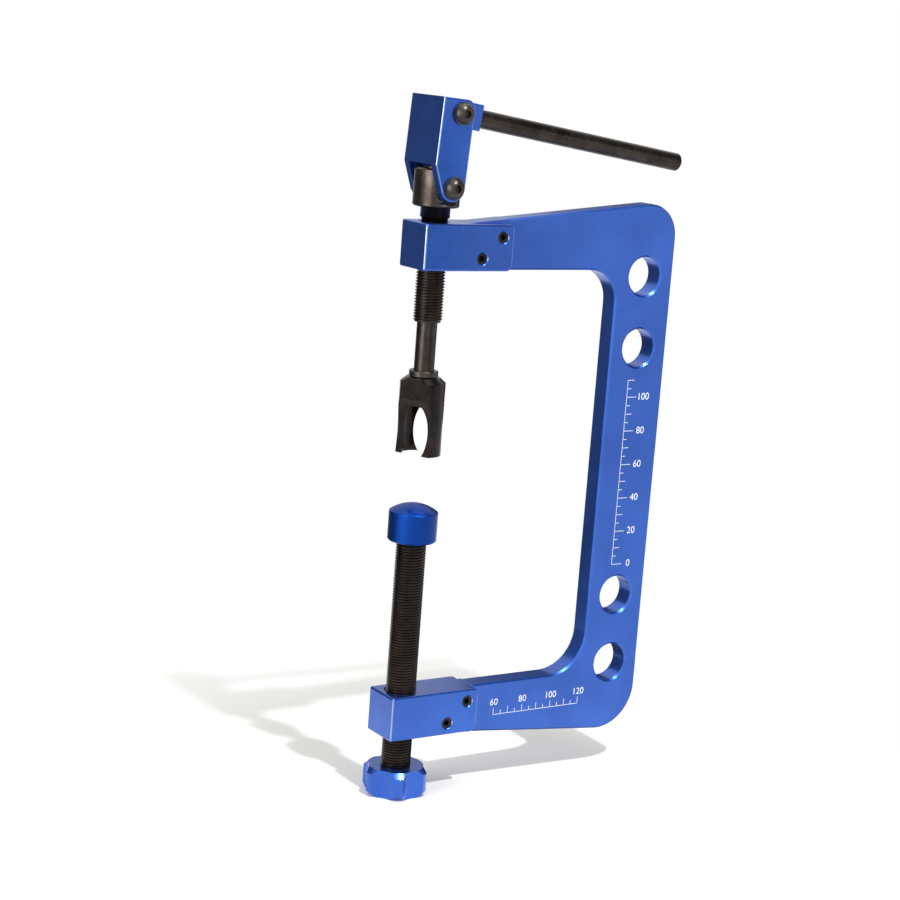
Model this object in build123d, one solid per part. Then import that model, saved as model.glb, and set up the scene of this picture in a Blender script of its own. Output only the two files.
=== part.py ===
"""Valve spring compressor: a C-frame with an anvil screw below and a toggle lever plunger above.

All sizes are in millimetres and all angles in degrees. Both screws share the Z axis, the knob's
bottom face is at Z = 0, +X points from the screws to the frame's spine and +Y points away from
the side on which the handle's screws are looked at first.
"""
from build123d import *
from math import acos, asin, atan2, cos, degrees, hypot, pi, radians, sin, sqrt, tan
import os

# Frame plate
FRAME_THICKNESS = 12.7
OPENING_HEIGHT = 237.65
SPINE_INNER_X = 122.0
SPINE_WIDTH = 40.0
ARM_RISE = 14.4
TONGUE_START_X = 18.3
UPPER_OUTER_RADIUS = 19.0
LOWER_OUTER_RADIUS = 25.0
UPPER_INNER_RADIUS = 18.5
LOWER_INNER_RADIUS = 24.0
FRAME_BEVEL = 1.1
SPINE_HOLE_DIAMETER = 22.3
SPINE_HOLE_OFFSETS = (-115.3, -73.7, 73.7, 115.3)

# End blocks and the screws that hold them on the frame
BLOCK_SIZE = 25.4
BLOCK_LENGTH = 57.15
BLOCK_NOSE = 12.7
BLOCK_CORNER_RADIUS = 3.5
BLOCK_EDGE_RADIUS = 1.2
BLOCK_SCREW_DIAMETER = 6.35
BLOCK_SCREW_SHARES = ((0.277, 5.7), (0.763, -5.9))
BLOCK_SCREW_RECESS = 0.9
BLOCK_SCREW_MOUTH_BEVEL = 0.5
BLOCK_SCREW_SOCKET = 3.2
BLOCK_SCREW_SOCKET_DEPTH = 2.6

# Threads of both adjusting screws
LOWER_SCREW_DIAMETER = 16.9
SLEEVE_DIAMETER = 16.0
THREAD_PITCH = 1.5875
THREAD_DEPTH = 0.86
THREAD_HALF_ANGLE = 30.0
THREAD_CREST = THREAD_PITCH / 8
THREAD_MOUTH_BEVEL = 1.0

# Knob
KNOB_DIAMETER = 37.0
KNOB_HEIGHT = 16.0
KNOB_GAP = 18.2
KNOB_BEVEL = 2.7
KNOB_LOBES = 6
KNOB_LOBE_ANGLE = 246.4
KNOB_SCALLOP_RADIUS = 12.0
KNOB_SCALLOP_FLOOR = 14.8
KNOB_FLOOR = 2.5
KNOB_SET_SCREW_DIAMETER = 4.0
KNOB_SET_SCREW_RECESS = 1.0

# Anvil cap
CAP_HEIGHT_OVER_BLOCK = 86.7
CAP_DIAMETER = 27.3
CAP_SIDE_HEIGHT = 16.5
CAP_DOME_HEIGHT = 4.6
CAP_RIM_RADIUS = 0.8
CAP_EDGE_BEVEL = 0.8
SCREW_NOSE_DIAMETER = 11.0
SCREW_NOSE_LENGTH = 11.2
RING_HEIGHT_IN_CAP = 4.0
RING_THICKNESS = 1.0
RING_INNER_RADIUS = 4.75
RING_OUTER_RADIUS = 6.35
RING_GAP_WIDTH = 3.0

# Threaded sleeve
SLEEVE_BELOW_BLOCK = 28.85
SLEEVE_RELIEF_LENGTH = 2.25
SLEEVE_RELIEF_RADIUS = 7.2
SLEEVE_RELIEF_START = 0.8
NECK_DIAMETER = 16.2
NECK_LENGTH = 5.8
HEAD_DIAMETER = 25.4
HEAD_HEIGHT = 20.5
HEAD_FLANGE = 3.2
HEAD_BEVEL = 0.8
SLEEVE_BORE_DIAMETER = 11.8
LOWER_PIVOT_HEIGHT = 11.2

# Plunger, guide bush and eye
PLUNGER_DIAMETER = 11.2
BUSH_OUTER_DIAMETER = 13.4
BUSH_LENGTH = 12.2
BUSH_FLANGE_DIAMETER = 16.8
BUSH_FLANGE_THICKNESS = 1.0
PLUNGER_TOP_OVER_HEAD = 5.8
SPIGOT_DIAMETER = 6.0
SPIGOT_LENGTH = 5.0
EYE_THICKNESS = 9.8
EYE_WALL = 1.8
EYE_HALF_WIDTH = 6.2
EYE_CORNER_RADIUS = 4.0

# Toggle: spacing of its pivots and its pose in the locked position
PIVOT_SPACING = 39.3
HOUSING_LEAN = 3.8
NOSE_LENGTH = 12.0
HANDLE_DROOP = 7.9
HANDLE_SWING = 70.0
HOUSING_TURN_PER_HANDLE_TURN = 0.32
PLUNGER_RISE_PER_DEGREE = 0.11
TOGGLE_PIN_DIAMETER = 5.0
LINKAGE_STEPS = 70

# Lever housing
HOUSING_DEPTH = 32.8
CHEEK_THICKNESS = 5.3
HOUSING_BACK_X = -12.7
HOUSING_WALL = 3.8
HOUSING_TOP = 46.9
HOUSING_WALL_BOTTOM = 10.9
HOUSING_END_RADIUS = 7.5
HOUSING_TOP_RADIUS = 5.0
HOUSING_EDGE_RADIUS = 1.0

# Handle block and rod
HANDLE_BLOCK_HEIGHT = 14.0
HANDLE_BLOCK_REACH = 16.4
HANDLE_BLOCK_EDGE = 0.7
NOSE_LUG_RADIUS = 5.0
ROD_DIAMETER = 10.1
ROD_START = 5.0
ROD_END = 161.5
ROD_BEVEL = 1.0
HANDLE_SET_SCREW_PLACE = 11.5
HANDLE_SET_SCREW_DIAMETER = 4.0
HANDLE_SET_SCREW_LENGTH = 4.0

# Button-head pivot screws and their washers
PIVOT_SHOULDER_DIAMETER = 8.0
PIVOT_THREAD_DIAMETER = 6.0
PIVOT_END_ROOM = 0.65
BUTTON_DIAMETER = 11.1
BUTTON_HEIGHT = 3.35
BUTTON_RIM = 0.5
BUTTON_DOME_RADIUS = 6.0
BUTTON_SOCKET = 4.0
BUTTON_SOCKET_DEPTH = 2.2
WASHER_DIAMETER = 12.2
WASHER_THICKNESS = 1.2

# Fork adapter and the thrust collar above it
FORK_GAP_TO_CAP = 27.9
FORK_DIAMETER = 25.0
FORK_SIDE_HEIGHT = 40.1
FORK_TOP_DIAMETER = 18.5
FORK_TOP_BEVEL = 2.7
FORK_FLATS = 18.9
FORK_CUP_DIAMETER = 17.9
FORK_CUP_DEPTH = 27.0
FORK_WINDOW_ANGLE = 23.3
FORK_CUT_RADIUS = 33.0
FORK_CUT_NEAR_FRONT = 3.9
FORK_CUT_NEAR_BACK = 4.9
FORK_CUT_HEIGHT = 12.4
FORK_FLOOR = 4.0
FORK_SET_SCREW_DIAMETER = 4.0
FORK_SET_SCREW_HEIGHT = 37.0
PLUNGER_GROOVE_DEPTH = 0.9
COLLAR_DIAMETER = 16.1
COLLAR_THICKNESS = 3.3
COLLAR_BEVEL = 0.4

# Clearances
RUNNING = 0.05
SEATED = 0.02
FACE_PLAY = 0.3
WASHER_PLAY = 0.2
CHEEK_PLAY = 0.35
PIN_PLAY = 0.25

# How far a cutter runs past the face that it opens
CUT_OVERRUN = 1.0

# Heights that follow from the sizes above
lower_block_z = KNOB_HEIGHT + KNOB_GAP
lower_block_top = lower_block_z + BLOCK_SIZE
upper_block_z = lower_block_top + OPENING_HEIGHT
upper_block_top = upper_block_z + BLOCK_SIZE
frame_middle_z = (lower_block_top + upper_block_z) / 2
block_end_x = BLOCK_LENGTH - BLOCK_NOSE
tongue_length = block_end_x - TONGUE_START_X
# Each block screw's place along X, and its height over the block's middle
block_screw_places = [(block_end_x - share * tongue_length, rise) for share, rise in BLOCK_SCREW_SHARES]
cap_z = lower_block_top + CAP_HEIGHT_OVER_BLOCK
cap_side_top = cap_z + CAP_SIDE_HEIGHT
fork_z = cap_side_top + CAP_DOME_HEIGHT + FORK_GAP_TO_CAP
fork_top = fork_z + FORK_SIDE_HEIGHT + FORK_TOP_BEVEL
collar_z = fork_top + FACE_PLAY
sleeve_z = upper_block_z - SLEEVE_BELOW_BLOCK
neck_z = upper_block_top + SLEEVE_RELIEF_LENGTH
head_z = neck_z + NECK_LENGTH
head_top = head_z + HEAD_HEIGHT
plunger_top = head_top + PLUNGER_TOP_OVER_HEAD
plunger_bottom = fork_z + FORK_CUP_DEPTH + FORK_FLOOR + FACE_PLAY
lower_pivot_z = head_z + LOWER_PIVOT_HEIGHT

# The handle pivot leans with the housing, and the toggle pin hangs from it on the screw axis
handle_pivot_x = PIVOT_SPACING * sin(radians(HOUSING_LEAN))
handle_pivot_z = lower_pivot_z + PIVOT_SPACING * cos(radians(HOUSING_LEAN))
nose_lean = degrees(asin(handle_pivot_x / NOSE_LENGTH))
toggle_pin_z = handle_pivot_z - NOSE_LENGTH * cos(radians(nose_lean))
housing_place = Pos(0, 0, lower_pivot_z) * Rot(0, HOUSING_LEAN, 0)
handle_place = Pos(handle_pivot_x, 0, handle_pivot_z) * Rot(0, HANDLE_DROOP, 0)
cheek_outer_y = HOUSING_DEPTH / 2
cheek_inner_y = cheek_outer_y - CHEEK_THICKNESS
seat_y = cheek_inner_y - CHEEK_PLAY
pivot_thread_length = seat_y - BUSH_OUTER_DIAMETER / 2 - PIVOT_END_ROOM
shoulder_length = cheek_outer_y + WASHER_PLAY - seat_y
lug_slot_width = EYE_THICKNESS + 2 * FACE_PLAY


def upright(radius, low, high, x=0.0):
    """A cylinder along Z between two heights."""
    return Pos(x, 0, low) * Cylinder(radius, high - low, align=(Align.CENTER, Align.CENTER, Align.MIN))


def crosswise(radius, low, high, x, z):
    """A cylinder along Y between two depths."""
    shaft = Cylinder(radius, high - low, align=(Align.CENTER, Align.CENTER, Align.MIN))
    return Pos(x, low, z) * Rot(-90, 0, 0) * shaft


def radial(radius, inner, outer, angle, z):
    """A cylinder that points away from the Z axis at an angle from +X."""
    shaft = Cylinder(radius, outer - inner, align=(Align.CENTER, Align.CENTER, Align.MIN))
    return Rot(0, 0, angle) * Pos(inner, 0, z) * Rot(0, 90, 0) * shaft


def block_between(x, y, z):
    """A box between two corners, each axis given as a pair."""
    corner = Box(x[1] - x[0], y[1] - y[0], z[1] - z[0], align=(Align.MIN, Align.MIN, Align.MIN))
    return Pos(x[0], y[0], z[0]) * corner


def turned(points):
    """A solid of revolution about Z from a closed list of radius and height pairs."""
    profile = make_face(Plane.XZ * Polyline(*points, close=True))
    return revolve(profile, Axis.Z)


def plate(points, radii, thickness):
    """A plate whose front view is a polygon with rounded corners, centred on Y = 0."""
    outline = make_face(Plane.XZ * FilletPolyline(*points, radius=radii, close=True))
    return extrude(outline, amount=thickness / 2, both=True)


def hex_socket(across_flats, depth, top):
    """The hexagonal recess of a screw that stands along Z."""
    hexagon = RegularPolygon(across_flats / 2, 6, major_radius=False)
    return Pos(0, 0, top - depth) * extrude(hexagon, amount=depth)


def thread_outline(radius, low, high):
    """Radius and height pairs along a thread's flanks, drawn as rings at the thread's pitch."""
    root = radius - THREAD_DEPTH
    flank = THREAD_DEPTH * tan(radians(THREAD_HALF_ANGLE))
    crest = THREAD_CREST
    rings = int((high - low) / THREAD_PITCH)
    start = low + ((high - low) - rings * THREAD_PITCH) / 2
    points = [(root, low)]
    for ring in range(rings):
        z = start + ring * THREAD_PITCH
        points += [(root, z), (radius, z + flank), (radius, z + flank + crest)]
        points += [(root, z + 2 * flank + crest)]
    return points + [(root, high)]


def dome(radius, low, rim, sphere_radius, height):
    """A short upright cylinder whose top is the cap of a sphere."""
    centre = rim - sqrt(sphere_radius**2 - radius**2)
    return upright(radius, low, low + height) & Pos(0, 0, low + centre) * Sphere(sphere_radius)


def make_frame():
    """The C-shaped plate: two tapered arms and a spine with lightening holes."""
    spine_outer_x = SPINE_INNER_X + SPINE_WIDTH
    corners = [
        (TONGUE_START_X, lower_block_z, 0),
        (spine_outer_x, lower_block_z - ARM_RISE, LOWER_OUTER_RADIUS),
        (spine_outer_x, upper_block_top + ARM_RISE, UPPER_OUTER_RADIUS),
        (TONGUE_START_X, upper_block_top, 0),
        (TONGUE_START_X, upper_block_z, 0),
        (SPINE_INNER_X, upper_block_z, UPPER_INNER_RADIUS),
        (SPINE_INNER_X, lower_block_top, LOWER_INNER_RADIUS),
        (TONGUE_START_X, lower_block_top, 0),
    ]
    whole = plate([(x, z) for x, z, _ in corners], [r for _, _, r in corners], FRAME_THICKNESS)
    for offset in SPINE_HOLE_OFFSETS:
        hole_x = SPINE_INNER_X + SPINE_WIDTH / 2
        reach = FRAME_THICKNESS
        whole -= crosswise(SPINE_HOLE_DIAMETER / 2, -reach, reach, hole_x, frame_middle_z + offset)
    half = FRAME_THICKNESS / 2
    tongue_box = block_between((0, block_end_x), (-half, half), (0, upper_block_top + ARM_RISE))
    tongues = whole & tongue_box
    body = whole - tongue_box
    rims = [
        edge
        for edge in body.edges()
        if abs(abs(edge.center().Y) - half) < SEATED and edge.center().X > block_end_x + SEATED
    ]
    body = chamfer(rims, FRAME_BEVEL)
    frame = body + tongues
    for block_z in (lower_block_z, upper_block_z):
        for x, rise in block_screw_places:
            z = block_z + BLOCK_SIZE / 2 + rise
            frame -= crosswise(BLOCK_SCREW_DIAMETER / 2 + SEATED, -half, half, x, z)
    return frame


def make_end_block(bottom, screw_diameter):
    """A square bar that straddles the frame's tongue and carries a screw."""
    half = BLOCK_SIZE / 2
    top = bottom + BLOCK_SIZE
    bar = block_between((-BLOCK_NOSE, block_end_x), (-half, half), (bottom, top))
    bar = fillet(bar.edges().filter_by(Axis.Y).group_by(Axis.X)[-1], BLOCK_CORNER_RADIUS)
    rounded_start = block_end_x - BLOCK_CORNER_RADIUS - SEATED
    rounded = bar.edges().filter_by(Axis.Y).filter_by(lambda edge: edge.center().X > rounded_start)
    bar = fillet(bar.edges() - rounded, BLOCK_EDGE_RADIUS)
    slot = FRAME_THICKNESS / 2 + SEATED
    open_z = (bottom - CUT_OVERRUN, top + CUT_OVERRUN)
    bar -= block_between((TONGUE_START_X - SEATED, BLOCK_LENGTH), (-slot, slot), open_z)
    bore = screw_diameter / 2 + RUNNING
    mouth = bore + THREAD_MOUTH_BEVEL
    bar -= turned(
        [
            (0, bottom - SEATED),
            (mouth, bottom - SEATED),
            (bore, bottom + THREAD_MOUTH_BEVEL),
            (bore, top - THREAD_MOUTH_BEVEL),
            (mouth, top + SEATED),
            (0, top + SEATED),
        ]
    )
    hole = BLOCK_SCREW_DIAMETER / 2 + SEATED
    for x, rise in block_screw_places:
        place = Pos(x, 0, bottom + half + rise)
        for side in (-1, 1):
            mouth = Cone(hole + BLOCK_SCREW_MOUTH_BEVEL, hole, BLOCK_SCREW_MOUTH_BEVEL)
            mouth = Pos(0, 0, BLOCK_SCREW_MOUTH_BEVEL / 2 - half) * mouth
            bar -= place * Rot(side * 90, 0, 0) * mouth
        bar -= crosswise(hole, -half, half, x, bottom + half + rise)
    return bar


def make_block_screws(bottom):
    """The two socket screws that cross an end block and the tongue inside it."""
    length = BLOCK_SIZE - 2 * BLOCK_SCREW_RECESS
    screw = upright(BLOCK_SCREW_DIAMETER / 2, 0, length)
    screw -= hex_socket(BLOCK_SCREW_SOCKET, BLOCK_SCREW_SOCKET_DEPTH, length)
    placed = []
    for x, rise in block_screw_places:
        z = bottom + BLOCK_SIZE / 2 + rise
        placed.append(Pos(x, length / 2, z) * Rot(90, 0, 0) * screw)
    return placed


def make_knob():
    """The six-lobed knob under the lower screw."""
    radius = KNOB_DIAMETER / 2
    knob = turned(
        [
            (0, 0),
            (radius - KNOB_BEVEL, 0),
            (radius, KNOB_BEVEL),
            (radius, KNOB_HEIGHT - KNOB_BEVEL),
            (radius - KNOB_BEVEL, KNOB_HEIGHT),
            (0, KNOB_HEIGHT),
        ]
    )
    for lobe in range(KNOB_LOBES):
        angle = KNOB_LOBE_ANGLE + (lobe + 0.5) * 360 / KNOB_LOBES
        centre = KNOB_SCALLOP_FLOOR + KNOB_SCALLOP_RADIUS
        cutter = upright(KNOB_SCALLOP_RADIUS, -CUT_OVERRUN, KNOB_HEIGHT + CUT_OVERRUN, centre)
        knob -= Rot(0, 0, angle) * cutter
    knob -= upright(LOWER_SCREW_DIAMETER / 2 + SEATED, KNOB_FLOOR, KNOB_HEIGHT)
    knob -= radial(
        KNOB_SET_SCREW_DIAMETER / 2 + SEATED,
        LOWER_SCREW_DIAMETER / 2,
        radius,
        knob_set_screw_angle(),
        KNOB_HEIGHT / 2,
    )
    return knob


def knob_set_screw_angle():
    """The set screw sits in the scallop that faces away, half a lobe past a land."""
    return KNOB_LOBE_ANGLE - 180 + 180 / KNOB_LOBES


def make_set_screw(diameter, length):
    """A socket set screw that stands on Z = 0 with its socket on top."""
    screw = upright(diameter / 2, 0, length)
    return screw - hex_socket(diameter / 2, length / 2, length)


def make_knob_set_screw():
    """The set screw that locks the knob on the lower screw."""
    inner = LOWER_SCREW_DIAMETER / 2 + SEATED
    length = KNOB_SCALLOP_FLOOR - inner - KNOB_SET_SCREW_RECESS
    screw = Pos(inner, 0, KNOB_HEIGHT / 2) * Rot(0, 90, 0) * make_set_screw(KNOB_SET_SCREW_DIAMETER, length)
    return Rot(0, 0, knob_set_screw_angle()) * screw


def make_lower_screw():
    """The long anvil screw, with a turned nose on which the cap swivels."""
    radius = LOWER_SCREW_DIAMETER / 2
    nose = SCREW_NOSE_DIAMETER / 2
    groove_low = cap_z + RING_HEIGHT_IN_CAP
    groove_high = groove_low + RING_THICKNESS + FACE_PLAY
    groove = RING_INNER_RADIUS - PIN_PLAY / 2
    bottom = KNOB_FLOOR + SEATED
    shoulder = cap_z - FACE_PLAY
    points = [(0, bottom)] + thread_outline(radius, bottom, shoulder)
    points += [
        (nose, shoulder),
        (nose, groove_low),
        (groove, groove_low),
        (groove, groove_high),
        (nose, groove_high),
        (nose, cap_z + SCREW_NOSE_LENGTH),
        (0, cap_z + SCREW_NOSE_LENGTH),
    ]
    return turned(points)


def make_anvil_cap():
    """The domed cap that rests against the valve head."""
    radius = CAP_DIAMETER / 2
    sphere = (radius**2 + CAP_DOME_HEIGHT**2) / (2 * CAP_DOME_HEIGHT)
    cap = dome(radius, cap_z, CAP_SIDE_HEIGHT, sphere, CAP_SIDE_HEIGHT + CAP_DOME_HEIGHT)
    rim = [edge for edge in cap.edges() if abs(edge.center().Z - cap_side_top) < SEATED]
    cap = fillet(rim, CAP_RIM_RADIUS)
    cap = chamfer(cap.edges().group_by(Axis.Z)[0], CAP_EDGE_BEVEL)
    cap -= upright(SCREW_NOSE_DIAMETER / 2 + RUNNING, cap_z, cap_z + SCREW_NOSE_LENGTH + FACE_PLAY)
    groove_low = cap_z + RING_HEIGHT_IN_CAP
    groove_high = groove_low + RING_THICKNESS + FACE_PLAY
    cap -= upright(RING_OUTER_RADIUS + PIN_PLAY / 2, groove_low, groove_high)
    return cap


def make_anvil_ring():
    """The open wire ring that keeps the cap on the screw's nose."""
    low = cap_z + RING_HEIGHT_IN_CAP + FACE_PLAY / 2
    high = low + RING_THICKNESS
    ring = upright(RING_OUTER_RADIUS, low, high) - upright(RING_INNER_RADIUS, low, high)
    half_gap = RING_GAP_WIDTH / 2
    return ring - block_between((-half_gap, half_gap), (0, CAP_DIAMETER), (low, high))


def make_sleeve():
    """The hollow adjusting screw, with the head that the lever housing straddles."""
    radius = SLEEVE_DIAMETER / 2
    neck = NECK_DIAMETER / 2
    head = HEAD_DIAMETER / 2
    relief_low = upper_block_top - SLEEVE_RELIEF_START
    points = [(0, sleeve_z)] + thread_outline(radius, sleeve_z, relief_low)
    points += [
        (SLEEVE_RELIEF_RADIUS, relief_low),
        (SLEEVE_RELIEF_RADIUS, neck_z),
        (neck, neck_z),
        (neck, head_z),
        (head - HEAD_BEVEL, head_z),
        (head, head_z + HEAD_BEVEL),
        (head, head_top - HEAD_BEVEL),
        (head - HEAD_BEVEL, head_top),
        (0, head_top),
    ]
    sleeve = turned(points)
    for side in (-1, 1):
        flat = sorted((side * seat_y, side * HEAD_DIAMETER))
        sleeve -= block_between((-head, head), flat, (head_z + HEAD_FLANGE, head_top + CUT_OVERRUN))
        thread = sorted((side * seat_y, side * (seat_y - pivot_thread_length - SEATED)))
        sleeve -= crosswise(PIVOT_THREAD_DIAMETER / 2 + SEATED, thread[0], thread[1], 0, lower_pivot_z)
    sleeve -= upright(SLEEVE_BORE_DIAMETER / 2, sleeve_z, head_top)
    sleeve -= upright(BUSH_OUTER_DIAMETER / 2 + RUNNING, head_top - BUSH_LENGTH - SEATED, head_top)
    return sleeve


def make_guide_bush():
    """The flanged bush in the sleeve's head that guides the plunger."""
    bush = upright(BUSH_OUTER_DIAMETER / 2, head_top - BUSH_LENGTH, head_top + SEATED)
    bush += upright(BUSH_FLANGE_DIAMETER / 2, head_top + SEATED, head_top + BUSH_FLANGE_THICKNESS)
    bore = PLUNGER_DIAMETER / 2 + RUNNING
    return bush - upright(bore, head_top - BUSH_LENGTH, head_top + BUSH_FLANGE_THICKNESS)


def make_plunger_rod():
    """The rod that slides in the sleeve, grooved below for the fork and turned down above for the eye."""
    radius = PLUNGER_DIAMETER / 2
    groove = radius - PLUNGER_GROOVE_DEPTH
    groove_middle = fork_z + FORK_SET_SCREW_HEIGHT
    groove_half = FORK_SET_SCREW_DIAMETER / 2 + FACE_PLAY
    return turned(
        [
            (0, plunger_bottom),
            (radius, plunger_bottom),
            (radius, groove_middle - groove_half),
            (groove, groove_middle - groove_half),
            (groove, groove_middle + groove_half),
            (radius, groove_middle + groove_half),
            (radius, plunger_top),
            (SPIGOT_DIAMETER / 2, plunger_top),
            (SPIGOT_DIAMETER / 2, plunger_top + SPIGOT_LENGTH),
            (0, plunger_top + SPIGOT_LENGTH),
        ]
    )


def pin_play():
    """How far the toggle pin wanders in the eye, as low and high offsets in X and Z.

    The real links follow arcs, and the modelled joints keep constant ratios, so the eye's
    window is made as wide as the difference over the whole swing of the handle.
    """
    across = []
    along = []
    for step in range(LINKAGE_STEPS + 1):
        swing = HANDLE_SWING * step / LINKAGE_STEPS
        lean = radians(HOUSING_LEAN - HOUSING_TURN_PER_HANDLE_TURN * swing)
        nose = radians((1 + HOUSING_TURN_PER_HANDLE_TURN) * swing - nose_lean)
        across.append(PIVOT_SPACING * sin(lean) + NOSE_LENGTH * sin(nose))
        pin_z = lower_pivot_z + PIVOT_SPACING * cos(lean) - NOSE_LENGTH * cos(nose)
        along.append(pin_z - toggle_pin_z - PLUNGER_RISE_PER_DEGREE * swing)
    return (min(across), max(across)), (min(along), max(along))


def eye_window():
    """The window in the plunger's eye, as low and high offsets from the toggle pin in X and Z."""
    reach = TOGGLE_PIN_DIAMETER / 2 + PIN_PLAY
    across, along = pin_play()
    return (across[0] - reach, across[1] + reach), (along[0] - reach, along[1] + reach)


def make_plunger_eye():
    """The flat eye on top of the plunger that the toggle pin pulls and pushes."""
    across, along = eye_window()
    half = EYE_HALF_WIDTH
    top = toggle_pin_z + along[1] + EYE_WALL
    bottom = plunger_top + SEATED
    corners = [(-half, bottom), (half, bottom), (half, top), (-half, top)]
    eye = plate(corners, [0, 0, EYE_CORNER_RADIUS, EYE_CORNER_RADIUS], EYE_THICKNESS)
    window = [
        (across[0], toggle_pin_z + along[0]),
        (across[1], toggle_pin_z + along[0]),
        (across[1], toggle_pin_z + along[1]),
        (across[0], toggle_pin_z + along[1]),
    ]
    eye -= plate(window, [TOGGLE_PIN_DIAMETER / 4] * len(window), 2 * EYE_THICKNESS)
    socket_top = plunger_top + SPIGOT_LENGTH + SEATED
    return eye - upright(SPIGOT_DIAMETER / 2 + SEATED, bottom, socket_top)


def make_thrust_collar():
    """The turned ring on the plunger that bears on the fork adapter."""
    high = collar_z + COLLAR_THICKNESS
    collar = upright(COLLAR_DIAMETER / 2, collar_z, high)
    collar = chamfer(collar.edges(), COLLAR_BEVEL)
    return collar - upright(PLUNGER_DIAMETER / 2 + SEATED, collar_z, high)


def make_fork():
    """The adapter that straddles the valve keepers: a cup that two hollow side cuts open into legs."""
    radius = FORK_DIAMETER / 2
    side_top = fork_z + FORK_SIDE_HEIGHT
    fork = turned(
        [(0, fork_z), (radius, fork_z), (radius, side_top), (FORK_TOP_DIAMETER / 2, fork_top), (0, fork_top)]
    )
    cup_top = fork_z + FORK_CUP_DEPTH
    fork -= upright(FORK_CUP_DIAMETER / 2, fork_z, cup_top)
    fork -= upright(PLUNGER_DIAMETER / 2 + RUNNING, cup_top + FORK_FLOOR, fork_top)
    turn = Rot(0, 0, FORK_WINDOW_ANGLE)
    for side, near in ((-1, FORK_CUT_NEAR_FRONT), (1, FORK_CUT_NEAR_BACK)):
        flat = sorted((side * FORK_FLATS / 2, side * FORK_DIAMETER))
        fork -= turn * block_between(flat, (-radius, radius), (fork_z - CUT_OVERRUN, fork_top + CUT_OVERRUN))
        cut_x = side * (near + FORK_CUT_RADIUS)
        fork -= turn * crosswise(FORK_CUT_RADIUS, -radius, radius, cut_x, fork_z + FORK_CUT_HEIGHT)
    hole_z = fork_z + FORK_SET_SCREW_HEIGHT
    hole = FORK_SET_SCREW_DIAMETER / 2 + SEATED
    hole_start = PLUNGER_DIAMETER / 2 - PLUNGER_GROOVE_DEPTH
    return fork - radial(hole, hole_start, radius, FORK_WINDOW_ANGLE, hole_z)


def make_fork_set_screw():
    """The screw whose tip runs in the plunger's groove, so that the fork swivels but stays on."""
    tip = PLUNGER_DIAMETER / 2 - PLUNGER_GROOVE_DEPTH + FACE_PLAY
    length = FORK_FLATS / 2 - tip - FACE_PLAY
    screw = make_set_screw(FORK_SET_SCREW_DIAMETER, length)
    screw = Pos(tip, 0, fork_z + FORK_SET_SCREW_HEIGHT) * Rot(0, 90, 0) * screw
    return Rot(0, 0, FORK_WINDOW_ANGLE) * screw


def make_housing():
    """The channel that carries the handle pivot, leaning on the sleeve's head."""
    back = HOUSING_BACK_X
    end = HOUSING_END_RADIUS
    wall_bottom = HOUSING_WALL_BOTTOM
    corner_angle = atan2(wall_bottom, back)
    touch = corner_angle + acos(end / hypot(back, wall_bottom))
    side = [
        (back, HOUSING_TOP),
        (end, HOUSING_TOP),
        (end, 0),
        (0, 0),
        (end * cos(touch), end * sin(touch)),
        (back, wall_bottom),
    ]
    radii = [0, HOUSING_TOP_RADIUS, 0, 0, 0, 0]
    housing = plate(side, radii, HOUSING_DEPTH)
    housing += crosswise(end, -cheek_outer_y, cheek_outer_y, 0, 0)
    rims = [edge for edge in housing.edges() if abs(abs(edge.center().Y) - cheek_outer_y) < SEATED]
    housing = fillet(rims, HOUSING_EDGE_RADIUS)
    inner = cheek_inner_y
    room = 2 * HOUSING_TOP
    housing -= block_between((back + HOUSING_WALL, room), (-inner, inner), (-room, room))
    housing -= block_between((2 * back, room), (-inner, inner), (-room, wall_bottom))
    head_reach = hypot(HEAD_DIAMETER / 2, HEAD_HEIGHT - LOWER_PIVOT_HEIGHT) + FACE_PLAY
    housing -= crosswise(head_reach, -inner, inner, 0, 0)
    for pivot in (0, PIVOT_SPACING):
        hole = PIVOT_SHOULDER_DIAMETER / 2 + RUNNING
        housing -= crosswise(hole, -HOUSING_DEPTH, HOUSING_DEPTH, 0, pivot)
    return housing_place * housing


def make_pivot_screw():
    """A button-head shoulder screw: its seat is Z = 0 and its head points to +Z."""
    head_low = shoulder_length + WASHER_THICKNESS + SEATED
    screw = upright(PIVOT_THREAD_DIAMETER / 2, -pivot_thread_length, head_low)
    screw += upright(PIVOT_SHOULDER_DIAMETER / 2, SEATED, shoulder_length)
    button = dome(BUTTON_DIAMETER / 2, head_low, BUTTON_RIM, BUTTON_DOME_RADIUS, BUTTON_HEIGHT)
    button -= hex_socket(BUTTON_SOCKET, BUTTON_SOCKET_DEPTH, head_low + BUTTON_HEIGHT)
    return screw + button


def make_pivot_washer():
    """The washer between a shoulder and its button head."""
    low = shoulder_length + SEATED / 2
    high = low + WASHER_THICKNESS
    washer = upright(WASHER_DIAMETER / 2, low, high)
    return washer - upright(PIVOT_THREAD_DIAMETER / 2 + SEATED, low, high)


def both_sides(piece, x, z):
    """A pivot piece placed on the front and on the back of the lever."""
    front = Pos(x, -seat_y, z) * Rot(90, 0, 0) * piece
    back = Pos(x, seat_y, z) * Rot(-90, 0, 0) * piece
    return [front, back]


def nose_in_block():
    """The toggle pin's centre in the handle block's own frame, whose origin is the handle pivot."""
    dx = -handle_pivot_x
    dz = toggle_pin_z - handle_pivot_z
    droop = radians(HANDLE_DROOP)
    return dx * cos(droop) - dz * sin(droop), dx * sin(droop) + dz * cos(droop)


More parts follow.
